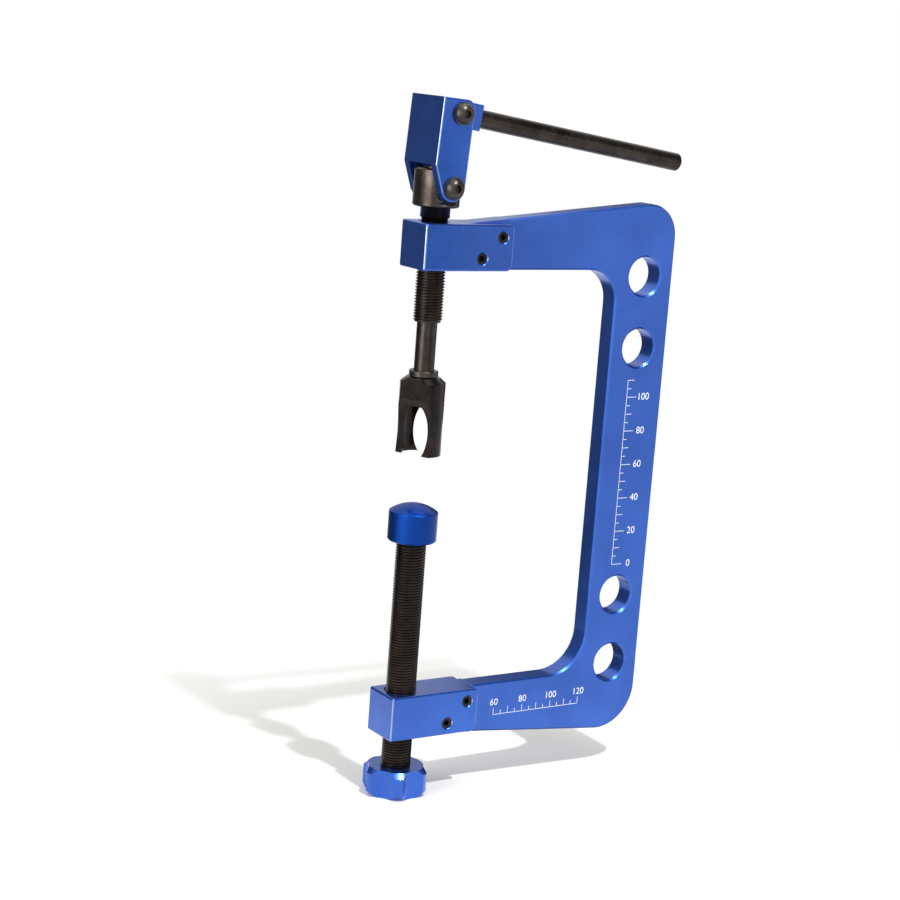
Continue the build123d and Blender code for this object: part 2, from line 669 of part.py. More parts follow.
def make_handle_block():
    """The block that holds the rod, with a slotted nose that carries the toggle pin."""
    half_height = HANDLE_BLOCK_HEIGHT / 2
    nose_x, nose_z = nose_in_block()
    bar = block_between((0, HANDLE_BLOCK_REACH), (-seat_y, seat_y), (-half_height, half_height))
    outer_end = bar.faces().sort_by(Axis.X)[-1]
    bar = chamfer(outer_end.edges(), HANDLE_BLOCK_EDGE)
    block = bar + crosswise(half_height, -seat_y, seat_y, 0, 0)
    block += crosswise(NOSE_LUG_RADIUS, -seat_y, seat_y, nose_x, nose_z)
    lug = block_between((-NOSE_LUG_RADIUS, NOSE_LUG_RADIUS), (-seat_y, seat_y), (-NOSE_LENGTH, 0))
    block += Rot(0, degrees(atan2(-nose_x, -nose_z)), 0) * lug
    across, along = pin_play()
    drift = max(-across[0], across[1])
    eye_top = eye_window()[1][1] + EYE_WALL - along[0]
    corner = hypot(EYE_HALF_WIDTH + drift - EYE_CORNER_RADIUS, eye_top - EYE_CORNER_RADIUS)
    slot = lug_slot_width / 2
    block -= crosswise(corner + EYE_CORNER_RADIUS + FACE_PLAY, -slot, slot, nose_x, nose_z)
    reach = EYE_HALF_WIDTH + drift + FACE_PLAY
    low = nose_z - 2 * NOSE_LENGTH
    block -= block_between((-NOSE_LENGTH, nose_x + reach), (-slot, slot), (low, nose_z + reach))
    for side in (-1, 1):
        thread = sorted((side * seat_y, side * (seat_y - pivot_thread_length - SEATED)))
        block -= crosswise(PIVOT_THREAD_DIAMETER / 2 + SEATED, thread[0], thread[1], 0, 0)
    block -= crosswise(TOGGLE_PIN_DIAMETER / 2 + SEATED, -seat_y, seat_y, nose_x, nose_z)
    rod_bore = ROD_DIAMETER / 2 + SEATED
    block -= Pos(ROD_START - SEATED, 0, 0) * Rot(0, 90, 0) * upright(rod_bore, 0, HANDLE_BLOCK_REACH)
    hole = HANDLE_SET_SCREW_DIAMETER / 2 + SEATED
    block -= upright(hole, -HANDLE_BLOCK_HEIGHT, 0, HANDLE_SET_SCREW_PLACE)
    return handle_place * block


def make_handle_rod():
    """The round bar that is the handle."""
    rod = upright(ROD_DIAMETER / 2, ROD_START, ROD_END)
    rod = chamfer(rod.edges().group_by(Axis.Z)[-1], ROD_BEVEL)
    return handle_place * Rot(0, 90, 0) * rod


def make_handle_set_screw():
    """The set screw under the block that bears on the rod."""
    screw = make_set_screw(HANDLE_SET_SCREW_DIAMETER, HANDLE_SET_SCREW_LENGTH)
    rod_side = -ROD_DIAMETER / 2 - SEATED
    place = Pos(HANDLE_SET_SCREW_PLACE, 0, rod_side) * Rot(180, 0, 0)
    trimmed = screw & upright(HANDLE_SET_SCREW_DIAMETER, 0, HANDLE_BLOCK_HEIGHT / 2 + rod_side)
    return handle_place * place * trimmed


def make_toggle_pin():
    """The pin across the nose that works the plunger's eye."""
    reach = seat_y - FACE_PLAY
    return crosswise(TOGGLE_PIN_DIAMETER / 2, -reach, reach, 0, toggle_pin_z)


def make_parts():
    """Every node of the object by name."""
    pivot_screw = make_pivot_screw()
    pivot_washer = make_pivot_washer()
    return {
        "c_frame": [make_frame()],
        "lower_block": [make_end_block(lower_block_z, LOWER_SCREW_DIAMETER)],
        "upper_block": [make_end_block(upper_block_z, SLEEVE_DIAMETER)],
        "lower_block_screws": make_block_screws(lower_block_z),
        "upper_block_screws": make_block_screws(upper_block_z),
        "lower_screw": [make_lower_screw()],
        "knob": [make_knob()],
        "knob_set_screw": [make_knob_set_screw()],
        "anvil_cap": [make_anvil_cap()],
        "anvil_retaining_ring": [make_anvil_ring()],
        "threaded_sleeve": [make_sleeve()],
        "guide_bush": [make_guide_bush()],
        "plunger_rod": [make_plunger_rod()],
        "plunger_eye": [make_plunger_eye()],
        "thrust_collar": [make_thrust_collar()],
        "fork_adapter": [make_fork()],
        "fork_set_screw": [make_fork_set_screw()],
        "lever_housing": [make_housing()],
        "lower_pivot_screws": both_sides(pivot_screw, 0, lower_pivot_z),
        "lower_pivot_washers": both_sides(pivot_washer, 0, lower_pivot_z),
        "upper_pivot_screws": both_sides(pivot_screw, handle_pivot_x, handle_pivot_z),
        "upper_pivot_washers": both_sides(pivot_washer, handle_pivot_x, handle_pivot_z),
        "handle_block": [make_handle_block()],
        "handle_rod": [make_handle_rod()],
        "handle_set_screw": [make_handle_set_screw()],
        "toggle_pin": [make_toggle_pin()],
    }


os.makedirs("parts", exist_ok=True)
for name, solids in make_parts().items():
    shape = solids[0] if len(solids) == 1 else Compound(children=solids)
    export_step(shape, f"parts/{name}.step")

print("screw pitch in millimetres per radian", THREAD_PITCH / (2 * pi))
print("lower pivot", (0, lower_pivot_z), "handle pivot", (handle_pivot_x, handle_pivot_z))
print("toggle pin height", toggle_pin_z, "eye window", eye_window())
print("fork", fork_z, fork_top, "cap top", cap_side_top + CAP_DOME_HEIGHT, "head top", head_top)
print("blocks", lower_block_z, lower_block_top, upper_block_z, upper_block_top)
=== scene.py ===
from math import ceil, cos, hypot, pi, radians, sin

import bmesh
import bpy
from mathutils import Matrix, Vector


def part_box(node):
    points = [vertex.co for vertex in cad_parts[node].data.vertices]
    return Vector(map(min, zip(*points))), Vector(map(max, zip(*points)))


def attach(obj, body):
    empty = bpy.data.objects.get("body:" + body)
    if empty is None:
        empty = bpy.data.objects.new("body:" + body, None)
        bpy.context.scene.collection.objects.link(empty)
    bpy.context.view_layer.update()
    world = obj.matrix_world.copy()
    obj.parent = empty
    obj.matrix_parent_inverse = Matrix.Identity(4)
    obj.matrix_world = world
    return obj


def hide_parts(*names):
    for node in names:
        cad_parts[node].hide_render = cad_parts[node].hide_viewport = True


# The valve spring compressor's looks. Everything is in metres, in the frame of the CAD model:
# both screws stand on the Z axis, +X points to the spine and the front side faces -Y.

MM = 0.001

# Threads of both screws, as the CAD model has them
LOWER_SCREW_RADIUS = 8.45 * MM
SLEEVE_RADIUS = 8.0 * MM
THREAD_PITCH = 1.5875 * MM
THREAD_DEPTH = 0.86 * MM
THREAD_CREST = THREAD_PITCH / 8
FLANK_SLOPE = 0.57735
THREAD_FLANK = THREAD_DEPTH * FLANK_SLOPE

# How a helix is drawn: columns in one turn, the rise of its tapered ends, and the angle,
# in radians, at which each of the two begins
THREAD_STEPS = 72
LEAD_IN = 0.8
LOWER_SCREW_START = 0.4
SLEEVE_START = 1.1

# Margins in which the faces of the CAD model's rings are found, the width under which seams of
# the new thread are closed, and the angle from which its edges stay sharp
RING_DEPTH_MARGIN = 0.02 * MM
RING_HEIGHT_MARGIN = 0.01 * MM
SEAM_WIDTH = 0.0005 * MM
SHARP_DEGREES = 28

# The lower screw's thread ends under the anvil's cap and the sleeve's inside the upper block;
# the sleeve's plain neck begins over that block
THREAD_UNDER_CAP = 0.3 * MM
THREAD_UNDER_BLOCK_TOP = 0.8 * MM
NECK_OVER_BLOCK = 2.2 * MM

# Camera, fitted to the photograph: its place, its angles in degrees, its focal length in pixels
# of a picture of that width, and its sensor's width in millimetres
CAMERA_PLACE = (-0.60880, -0.94685, 0.42161)
CAMERA_YAW = 33.63
CAMERA_PITCH = -11.21
CAMERA_ROLL = 4.29
FOCAL_PIXELS = 2093.42
PHOTO_PIXELS = 900
SENSOR_WIDTH = 36.0

# Marks on the frame's front: its face, the ink's thickness and lines, text size per digit height,
# millimetres from tick to tick and ticks from number to number
FRONT_FACE_Y = -6.35 * MM
INK_THICKNESS = 0.03 * MM
LINE = 0.32 * MM
TEXT_SIZE = 1.4
TICK_STEP = 5
TICKS_PER_NUMBER = 4

# The spine's scale: its foot, ticks, lengths of tick and numbers
SPINE_SCALE_X = 136.5 * MM
SPINE_SCALE_LOW = 123.4 * MM
SPINE_TICKS = 23
SPINE_NUMBERED_TICK = 7.0 * MM
SPINE_EVEN_TICK = 4.6 * MM
SPINE_ODD_TICK = 2.8 * MM
SPINE_NUMBER_AWAY = 12.0 * MM
SPINE_NUMBER_HEIGHT = 4.2 * MM

# The lower arm's scale, which counts millimetres from the screws' axis
ARM_SCALE_Z = 40.0 * MM
ARM_SCALE_START = 60
ARM_TICKS = 13
ARM_EVEN_TICK = 4.0 * MM
ARM_ODD_TICK = 2.4 * MM
ARM_NUMBER_AWAY = 7.4 * MM
ARM_NUMBER_HEIGHT = 4.0 * MM

# Noise scales of the finishes, in waves per metre
DYE_CLOUDS = 24.0
DYE_SPECKS = 2600.0
# Patchiness of the highlight painted on rounded edges
EDGE_HIGHLIGHT_PATCHES = 300.0
DYE_WEAR = 70.0
DYE_GRAIN = 1700.0
OXIDE_PATCHES = 90.0
OXIDE_SPECKS = 1500.0
OXIDE_WEAR = 160.0
OXIDE_GRAIN = 1300.0
METAL_STAINS = 260.0
METAL_WEAR = 700.0
METAL_PORES = 1900.0
INK_THINNING = 900.0
INK_GRAIN = 2500.0
BRUSHED_ALONG_X_AND_Y = (60, 60, 2600)
DRAWN_ALONG_Z = (1500, 1500, 25)

# Heights of relief
BRUSHING_HEIGHT = 0.005 * MM
TURNING_HEIGHT = 0.005 * MM
DRAWING_HEIGHT = 0.010 * MM
INK_RELIEF = 0.004 * MM

# Parts of a face's normal, which pick the edges where a highlight is painted: the largest
# one from slanted to flat, the one towards the front or the back from none to enough, and the one
# upwards from upright to tilted
SLANTED_TO_FLAT = (0.88, 0.97)
TOWARDS_FRONT = (0.22, 0.40)
UPRIGHT_TO_TILTED = (0.10, 0.30)

# Colours that more than one material uses, the pale blue of a highlight painted on rounded edges, and
# that of thin ink
DEEP_BLUE = (0.026, 0.102, 0.470)
LIGHT_BLUE = (0.037, 0.134, 0.580)
EDGE_HIGHLIGHT_BLUE = (0.55, 0.60, 0.72)
THIN_INK = (0.42, 0.52, 0.80)

# The object's middle, which lamps and standing panels face, and the height of lying panels
MIDDLE = (0.07, 0.0, 0.19)
OVER_FLOOR = 0.004

# The room's plain light: on surfaces, and as the camera and reflections see it
ROOM_LIGHT = 0.42
ROOM_SEEN = 1.0

# The floor: its size, its paper's colour and faint glow, and the distances from a middle over
# which the paper fades to plain white
FLOOR_RADIUS = 25.0
FLOOR_SEGMENTS = 96
PAPER = (0.925, 0.915, 0.875, 1)
PAPER_LIFT = 0.05
FADE_MIDDLE = (0.05, 0.0, 0.0)
FADE_START = 0.08
FADE_END = 0.35

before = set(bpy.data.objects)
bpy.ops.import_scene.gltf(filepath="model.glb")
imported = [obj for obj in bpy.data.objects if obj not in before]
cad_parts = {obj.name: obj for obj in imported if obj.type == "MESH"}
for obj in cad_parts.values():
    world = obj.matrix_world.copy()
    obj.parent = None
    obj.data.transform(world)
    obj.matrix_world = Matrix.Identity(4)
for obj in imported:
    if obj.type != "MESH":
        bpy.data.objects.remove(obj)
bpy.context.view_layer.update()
scene = bpy.context.scene


class Finish:
    """A material whose colour, roughness and bump come from nodes on one Principled shader."""

    def __init__(self, name, metallic, roughness, coat=0.0, coat_roughness=0.1):
        self.material = bpy.data.materials.new(name)
        self.material.use_nodes = True
        self.nodes = self.material.node_tree.nodes
        self.links = self.material.node_tree.links
        self.shader = self.nodes["Principled BSDF"]
        self.shader.inputs["Metallic"].default_value = metallic
        self.shader.inputs["Roughness"].default_value = roughness
        self.shader.inputs["Coat Weight"].default_value = coat
        self.shader.inputs["Coat Roughness"].default_value = coat_roughness
        self.place = self.nodes.new("ShaderNodeTexCoord").outputs["Object"]
        self.normal = None

    def put(self, socket, value):
        """A node's socket gets another node's output, or a plain value."""
        if isinstance(value, bpy.types.NodeSocket):
            self.links.new(value, socket)
        else:
            socket.default_value = value

    def stretched(self, scale):
        """The object's coordinates, scaled by axis."""
        node = self.nodes.new("ShaderNodeMapping")
        self.put(node.inputs["Vector"], self.place)
        node.inputs["Scale"].default_value = scale
        return node.outputs["Vector"]

    def noise(self, scale, detail=3.0, roughness=0.55, vector=None):
        node = self.nodes.new("ShaderNodeTexNoise")
        self.put(node.inputs["Vector"], vector or self.place)
        node.inputs["Scale"].default_value = scale
        node.inputs["Detail"].default_value = detail
        node.inputs["Roughness"].default_value = roughness
        return node.outputs["Fac"]

    def math(self, operation, a, b=0.0):
        node = self.nodes.new("ShaderNodeMath")
        node.operation = operation
        self.put(node.inputs[0], a)
        self.put(node.inputs[1], b)
        return node.outputs[0]

    def spread(self, value, low, high, to_low, to_high):
        """A value brought from one range to another and held inside it."""
        node = self.nodes.new("ShaderNodeMapRange")
        self.put(node.inputs["Value"], value)
        numbers = {"From Min": low, "From Max": high, "To Min": to_low, "To Max": to_high}
        for socket, number in numbers.items():
            node.inputs[socket].default_value = number
        return node.outputs["Result"]

    def mixed(self, factor, a, b):
        node = self.nodes.new("ShaderNodeMix")
        node.data_type = "RGBA"
        self.put(node.inputs["Factor"], factor)
        self.put(node.inputs["A"], a if isinstance(a, bpy.types.NodeSocket) else (*a, 1))
        self.put(node.inputs["B"], b if isinstance(b, bpy.types.NodeSocket) else (*b, 1))
        return node.outputs["Result"]

    def colour(self, value):
        self.put(self.shader.inputs["Base Color"], value)

    def roughness(self, value):
        self.put(self.shader.inputs["Roughness"], value)

    def bump(self, height, distance):
        """Relief whose height of 1 stands that distance proud, laid over the relief before it."""
        node = self.nodes.new("ShaderNodeBump")
        self.put(node.inputs["Height"], height)
        node.inputs["Distance"].default_value = distance
        if self.normal:
            self.put(node.inputs["Normal"], self.normal)
        self.normal = node.outputs["Normal"]
        self.put(self.shader.inputs["Normal"], self.normal)

    def radius_and_height(self):
        """The distance from the screw axis, and the height."""
        apart = self.nodes.new("ShaderNodeSeparateXYZ")
        self.put(apart.inputs[0], self.place)
        x = self.math("MULTIPLY", apart.outputs["X"], apart.outputs["X"])
        y = self.math("MULTIPLY", apart.outputs["Y"], apart.outputs["Y"])
        return self.math("SQRT", self.math("ADD", x, y)), apart.outputs["Z"]

    def rounded_edges(self):
        """How far a face belongs to the upright rounded edges of the front and the back, where a
        highlight is painted.
        """
        facing = self.nodes.new("ShaderNodeTexCoord").outputs["Normal"]
        apart = self.nodes.new("ShaderNodeSeparateXYZ")
        self.put(apart.inputs[0], facing)
        x, y, z = (self.math("ABSOLUTE", apart.outputs[axis]) for axis in ("X", "Y", "Z"))
        largest = self.math("MAXIMUM", self.math("MAXIMUM", x, y), z)
        slanted = self.spread(largest, *SLANTED_TO_FLAT, 1.0, 0.0)
        fronting = self.spread(y, *TOWARDS_FRONT, 0.0, 1.0)
        upright = self.spread(z, *UPRIGHT_TO_TILTED, 1.0, 0.0)
        return self.math("MULTIPLY", slanted, self.math("MULTIPLY", fronting, upright))

    def turning(self, spacing):
        """Uneven rings around the screw axis, as a lathe leaves them."""
        across, height = self.radius_and_height()
        node = self.nodes.new("ShaderNodeTexNoise")
        node.noise_dimensions = "1D"
        self.put(node.inputs["W"], self.math("ADD", across, height))
        node.inputs["Scale"].default_value = 1 / spacing
        node.inputs["Detail"].default_value = 2.0
        return node.outputs["Fac"]


def anodised(name, deep, light, metallic, roughness, coat, grain, brushed=None, edge_highlight=0.0):
    """Dyed aluminium: slight clouds in the dye, a fine grain whose height is in millimetres,
    brushing where its noise scales are given, and a pale, patchy highlight painted on the upright
    rounded edges by a share from 0 to 1."""
    finish = Finish(name, metallic, roughness, coat=coat, coat_roughness=0.10)
    clouds = finish.noise(DYE_CLOUDS, detail=4.0)
    dye = finish.mixed(finish.spread(clouds, 0.35, 0.68, 0.0, 1.0), deep, light)
    speck = finish.spread(finish.noise(DYE_SPECKS, detail=2.0), 0.42, 0.60, 0.0, 0.05)
    dye = finish.mixed(speck, dye, [0.72 * c for c in deep])
    # Upright front and back rounded edges get a pale, patchy colour: a painted highlight
    if edge_highlight:
        highlight_patches = finish.noise(EDGE_HIGHLIGHT_PATCHES, detail=4.0)
        highlight_share = finish.spread(highlight_patches, 0.25, 0.55, 0.6 * edge_highlight, edge_highlight)
        dye = finish.mixed(finish.math("MULTIPLY", highlight_share, finish.rounded_edges()), dye, EDGE_HIGHLIGHT_BLUE)
    finish.colour(dye)
    worn = finish.noise(DYE_WEAR, detail=5.0)
    finish.roughness(finish.spread(worn, 0.3, 0.72, roughness - 0.04, roughness + 0.06))
    finish.bump(finish.noise(DYE_GRAIN, detail=3.0), grain * MM)
    if brushed:
        lines = finish.noise(1.0, detail=3.0, vector=finish.stretched(brushed))
        finish.bump(lines, BRUSHING_HEIGHT)
    return finish.material


def oxide(name, dark, warm, roughness, turned=0.0, grain=0.008, oiled=0.0, drawn=False):
    """Black oxide on steel: brownish where it is thin, with a dull grain, turning rings where
    their spacing is given, upright drawn lines and a film of oil. Lengths are in millimetres."""
    finish = Finish(name, 0.9, roughness, coat=oiled, coat_roughness=0.2)
    thin = finish.noise(OXIDE_PATCHES, detail=5.0, roughness=0.65)
    tone = finish.mixed(finish.spread(thin, 0.4, 0.68, 0.0, 1.0), dark, warm)
    fine = finish.spread(finish.noise(OXIDE_SPECKS, detail=3.0), 0.5, 0.72, 0.0, 0.30)
    finish.colour(finish.mixed(fine, tone, [1.5 * c for c in warm]))
    worn = finish.noise(OXIDE_WEAR, detail=4.0)
    finish.roughness(finish.spread(worn, 0.3, 0.7, roughness - 0.06, roughness + 0.08))
    finish.bump(finish.noise(OXIDE_GRAIN, detail=3.0), grain * MM)
    if turned:
        finish.bump(finish.turning(turned * MM), TURNING_HEIGHT)
    if drawn:
        lines = finish.noise(1.0, detail=3.0, vector=finish.stretched(DRAWN_ALONG_Z))
        finish.bump(lines, DRAWING_HEIGHT)
    return finish.material


def bright_metal(name, colour, darker, roughness, pores):
    """Uncoated metal with a slight stain and fine pores."""
    finish = Finish(name, 0.95, roughness)
    stain = finish.spread(finish.noise(METAL_STAINS, detail=4.0), 0.38, 0.66, 0.0, 1.0)
    finish.colour(finish.mixed(stain, colour, darker))
    worn = finish.noise(METAL_WEAR)
    finish.roughness(finish.spread(worn, 0.35, 0.65, roughness - 0.06, roughness + 0.10))
    finish.bump(finish.noise(METAL_PORES, detail=2.0), pores * MM)
    return finish.material


def ink(name, colour):
    """The light print of the scales, a little thin in places."""
    finish = Finish(name, 0.0, 0.5)
    thin = finish.spread(finish.noise(INK_THINNING, detail=3.0), 0.45, 0.75, 0.0, 0.35)
    finish.colour(finish.mixed(thin, colour, THIN_INK))
    finish.bump(finish.noise(INK_GRAIN), INK_RELIEF)
    return finish.material


frame_finish = anodised(
    "anodised_plate", DEEP_BLUE, LIGHT_BLUE, metallic=0.86, roughness=0.30, coat=0.45, grain=0.002
)
# The bars' upright rounded edges get a painted highlight
block_finish = anodised(
    "anodised_bar", DEEP_BLUE, LIGHT_BLUE, metallic=0.88, roughness=0.26, coat=0.45, grain=0.0015,
    brushed=BRUSHED_ALONG_X_AND_Y, edge_highlight=0.55
)
knob_finish = anodised(
    "anodised_knob", DEEP_BLUE, LIGHT_BLUE, metallic=0.90, roughness=0.24, coat=0.35, grain=0.002
)
cap_finish = anodised(
    "anodised_cap", (0.001, 0.036, 0.240), (0.002, 0.048, 0.295),
    metallic=0.97, roughness=0.42, coat=0.15, grain=0.001
)
thread_finish = oxide(
    "oxide_thread", (0.020, 0.014, 0.011), (0.044, 0.032, 0.025), roughness=0.32, oiled=0.2
)
turned_finish = oxide(
    "oxide_turned", (0.044, 0.036, 0.031), (0.094, 0.078, 0.067), roughness=0.27, turned=0.42
)
rod_finish = oxide(
    "oxide_rod", (0.028, 0.023, 0.020), (0.060, 0.049, 0.042), roughness=0.22, turned=0.42
)
button_finish = oxide(
    "oxide_buttons", (0.046, 0.040, 0.036), (0.100, 0.086, 0.076), roughness=0.32, grain=0.003
)
fork_finish = oxide(
    "oxide_fork", (0.015, 0.012, 0.0105), (0.034, 0.027, 0.024), roughness=0.21, grain=0.002, drawn=True
)
plain_finish = oxide("oxide_milled", (0.028, 0.022, 0.019), (0.062, 0.050, 0.043), roughness=0.30)
fastener_finish = oxide(
    "oxide_fasteners", (0.020, 0.018, 0.016), (0.050, 0.044, 0.040), roughness=0.25, grain=0.005
)
washer_finish = bright_metal(
    "washer_steel", (0.16, 0.155, 0.15), (0.07, 0.066, 0.062), roughness=0.24, pores=0.004
)
steel_finish = bright_metal(
    "spring_steel", (0.42, 0.41, 0.40), (0.24, 0.23, 0.22), roughness=0.30, pores=0.006
)
ink_finish = ink("print_white", (0.83, 0.87, 0.95))

FINISHES = {
    "c_frame": frame_finish,
    "lower_block": block_finish,
    "upper_block": block_finish,
    "lever_housing": block_finish,
    "handle_block": block_finish,
    "knob": knob_finish,
    "anvil_cap": cap_finish,
    "lower_screw": thread_finish,
    "threaded_sleeve": thread_finish,
    "plunger_rod": rod_finish,
    "thrust_collar": turned_finish,
    "fork_adapter": fork_finish,
    "plunger_eye": plain_finish,
    "handle_rod": plain_finish,
    "lower_block_screws": fastener_finish,
    "upper_block_screws": fastener_finish,
    "knob_set_screw": fastener_finish,
    "fork_set_screw": fastener_finish,
    "handle_set_screw": fastener_finish,
    "lower_pivot_screws": button_finish,
    "upper_pivot_screws": button_finish,
    "lower_pivot_washers": washer_finish,
    "upper_pivot_washers": washer_finish,
    "guide_bush": turned_finish,
    "anvil_retaining_ring": steel_finish,
    "toggle_pin": steel_finish,
}


def dress(thing, material):
    """One material goes on all faces of an object."""
    thing.data.materials.clear()
    thing.data.materials.append(material)
    for face in thing.data.polygons:
        face.material_index = 0


for node_name, material in FINISHES.items():
    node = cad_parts[node_name]
    for slot in node.material_slots:
        slot.material = material


def new_piece(name, mesh, body, material):
    """A mesh object that rides on a body and wears one material."""
    piece = bpy.data.objects.new(name, mesh)
    scene.collection.objects.link(piece)
    dress(piece, material)
    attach(piece, body)
    return piece


def helical_thread(shell, crest_radius, low, high, start):
    """Adds a right-hand thread between two heights to a bmesh, tapered at both ends."""
    root = crest_radius - THREAD_DEPTH
    profile = [(0.0, root), (THREAD_FLANK, crest_radius)]
    profile += [(THREAD_FLANK + THREAD_CREST, crest_radius), (2 * THREAD_FLANK + THREAD_CREST, root)]
    columns = []
    for step in range((ceil((high - low) / THREAD_PITCH) + 2) * THREAD_STEPS + 1):
        angle = start + 2 * pi * step / THREAD_STEPS
        base = low + THREAD_PITCH * (step / THREAD_STEPS - 1)
        column = []
        for rise, wanted in profile:
            z = min(max(base + rise, low), high)
            taper = root + LEAD_IN * min(z - low, high - z)
            radius = min(wanted, taper)
            column.append(shell.verts.new((radius * cos(angle), radius * sin(angle), z)))
        columns.append(column)
    for here, there in zip(columns, columns[1:]):
        for k in range(len(profile) - 1):
            shell.faces.new((here[k], there[k], there[k + 1], here[k + 1]))
    for step in range(len(columns) - THREAD_STEPS - 1):
        here, there = columns[step], columns[step + 1]
        above, beyond = columns[step + THREAD_STEPS], columns[step + THREAD_STEPS + 1]
        shell.faces.new((here[-1], there[-1], beyond[0], above[0]))


def threaded_piece(name, node_name, body, crest_radius, low, high, start):
    """A copy of a CAD node whose thread is a helix in place of rings."""
    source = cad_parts[node_name]
    shell = bmesh.new()
    shell.from_mesh(source.data)
    inside = crest_radius - THREAD_DEPTH - RING_DEPTH_MARGIN
    ringed = []
    for face in shell.faces:
        heights = [v.co.z for v in face.verts]
        if min(heights) > low - RING_HEIGHT_MARGIN and max(heights) < high + RING_HEIGHT_MARGIN:
            if all(hypot(v.co.x, v.co.y) > inside for v in face.verts):
                ringed.append(face)
    bmesh.ops.delete(shell, geom=ringed, context="FACES")
    helical_thread(shell, crest_radius, low, high, start)
    bmesh.ops.remove_doubles(shell, verts=shell.verts, dist=SEAM_WIDTH)
    bmesh.ops.dissolve_degenerate(shell, edges=shell.edges, dist=SEAM_WIDTH)
    mesh = bpy.data.meshes.new(name)
    shell.to_mesh(mesh)
    shell.free()
    for face in mesh.polygons:
        face.use_smooth = True
    mesh.set_sharp_from_angle(angle=radians(SHARP_DEGREES))
    piece = new_piece(name, mesh, body, thread_finish)
    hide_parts(node_name)
    return piece


screw_low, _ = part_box("lower_screw")
sleeve_low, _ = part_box("threaded_sleeve")
cap_low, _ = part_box("anvil_cap")
upper_block_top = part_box("upper_block")[1].z
screw_top = cap_low.z - THREAD_UNDER_CAP
sleeve_top = upper_block_top - THREAD_UNDER_BLOCK_TOP
threaded_piece(
    "anvil_screw_helix", "lower_screw", "anvil_screw",
    LOWER_SCREW_RADIUS, screw_low.z, screw_top, LOWER_SCREW_START
)
sleeve = threaded_piece(
    "sleeve_helix", "threaded_sleeve", "sleeve",
    SLEEVE_RADIUS, sleeve_low.z, sleeve_top, SLEEVE_START
)
# The sleeve's neck and head are turned and have no thread
sleeve.data.materials.append(turned_finish)
for face in sleeve.data.polygons:
    if face.center.z > upper_block_top + NECK_OVER_BLOCK:
        face.material_index = 1


class Marks:
    """Thin printed marks on the frame's front face, gathered in one mesh."""

    def __init__(self):
        self.shell = bmesh.new()

    def bar(self, x, z, width, height):
        """A rectangle of ink around a point, in metres along X and Z."""
        made = bmesh.ops.create_cube(self.shell, size=1.0)
        size = Matrix.Diagonal((width, INK_THICKNESS, height, 1))
        place = Matrix.Translation((x, FRONT_FACE_Y - INK_THICKNESS / 2, z))
        bmesh.ops.transform(self.shell, matrix=place @ size, verts=made["verts"])

    def number(self, text, x, z, height):
        """Digits centred on a point."""
        curve = bpy.data.curves.new("digits", "FONT")
        curve.body = text
        curve.size = height * TEXT_SIZE
        curve.align_x = "CENTER"
        curve.align_y = "CENTER"
        curve.extrude = INK_THICKNESS / 2
        holder = bpy.data.objects.new("digits", curve)
        scene.collection.objects.link(holder)
        mesh = bpy.data.meshes.new_from_object(holder)
        bpy.data.objects.remove(holder)
        upright = Matrix.Rotation(pi / 2, 4, "X")
        mesh.transform(Matrix.Translation((x, FRONT_FACE_Y - INK_THICKNESS / 2, z)) @ upright)
        self.shell.from_mesh(mesh)

    def piece(self, name):
        mesh = bpy.data.meshes.new(name)
        self.shell.to_mesh(mesh)
        self.shell.free()
        new_piece(name, mesh, "frame", ink_finish)


spine_marks = Marks()
for tick in range(SPINE_TICKS):
    z = SPINE_SCALE_LOW + tick * TICK_STEP * MM
    numbered = tick % TICKS_PER_NUMBER == 0
    length = SPINE_NUMBERED_TICK if numbered else SPINE_ODD_TICK if tick % 2 else SPINE_EVEN_TICK
    spine_marks.bar(SPINE_SCALE_X + length / 2, z, length, LINE)
    if numbered:
        spine_marks.number(
            str(tick * TICK_STEP), SPINE_SCALE_X + SPINE_NUMBER_AWAY, z, SPINE_NUMBER_HEIGHT
        )
spine_length = (SPINE_TICKS - 1) * TICK_STEP * MM
spine_marks.bar(SPINE_SCALE_X, SPINE_SCALE_LOW + spine_length / 2, LINE, spine_length + LINE)
spine_marks.piece("spine_scale")

arm_marks = Marks()
for tick in range(ARM_TICKS):
    reach = ARM_SCALE_START + TICK_STEP * tick
    x = reach * MM
    length = ARM_ODD_TICK if tick % 2 else ARM_EVEN_TICK
    arm_marks.bar(x, ARM_SCALE_Z + length / 2, LINE, length)
    if tick % TICKS_PER_NUMBER == 0:
        arm_marks.number(str(reach), x, ARM_SCALE_Z + ARM_NUMBER_AWAY, ARM_NUMBER_HEIGHT)
arm_length = (ARM_TICKS - 1) * TICK_STEP * MM
arm_marks.bar(ARM_SCALE_START * MM + arm_length / 2, ARM_SCALE_Z, arm_length + LINE, LINE)
arm_marks.piece("reach_scale")


def look_from(place, yaw, pitch, roll):
    """A camera's matrix from where it stands and how it is turned, in degrees."""
    yaw, pitch, roll = radians(yaw), radians(pitch), radians(roll)
    forward = Vector((sin(yaw) * cos(pitch), cos(yaw) * cos(pitch), sin(pitch)))
    level = Vector((cos(yaw), -sin(yaw), 0))
    rise = level.cross(forward)
    right = cos(roll) * level + sin(roll) * rise
    up = cos(roll) * rise - sin(roll) * level
    turn = Matrix((right, up, -forward)).transposed().to_4x4()
    return Matrix.Translation(place) @ turn


camera_data = bpy.data.cameras.new("camera")
camera_data.sensor_fit = "HORIZONTAL"
camera_data.sensor_width = SENSOR_WIDTH
camera_data.lens = FOCAL_PIXELS / PHOTO_PIXELS * SENSOR_WIDTH
camera_data.clip_start = 0.05
camera_data.clip_end = 60.0
camera = bpy.data.objects.new("camera", camera_data)
scene.collection.objects.link(camera)
camera.matrix_world = look_from(CAMERA_PLACE, CAMERA_YAW, CAMERA_PITCH, CAMERA_ROLL)
scene.camera = camera


